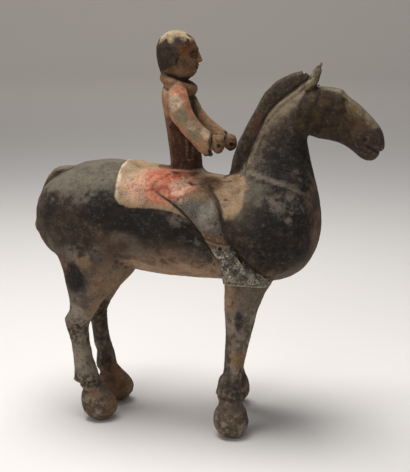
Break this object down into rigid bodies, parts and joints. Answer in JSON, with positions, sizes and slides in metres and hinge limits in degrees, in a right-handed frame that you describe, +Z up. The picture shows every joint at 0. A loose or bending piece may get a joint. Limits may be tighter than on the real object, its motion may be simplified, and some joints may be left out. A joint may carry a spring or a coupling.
{
  "type": "painted pottery horse and rider figure",
  "caption": "Standing horse in painted grey pottery with a rider astride, fired as one piece: arched neck, clipped slab mane, ball-like hooves, saddle cloth, forearms held out to pierced fists.",
  "frame": {"origin": "on the ground under the middle of the figure's bounding box", "axes": "+X towards the horse's nose, +Y towards the horse's left side, +Z up"},
  "size_m": [0.3048, 0.1152, 0.34],
  "materials": {
    "painted_clay": "matt, unglazed, worn paint and burial soil"
  },
  "bodies": {
    "root": {"horse_and_rider": "painted_clay"}
  },
  "joints": []
}
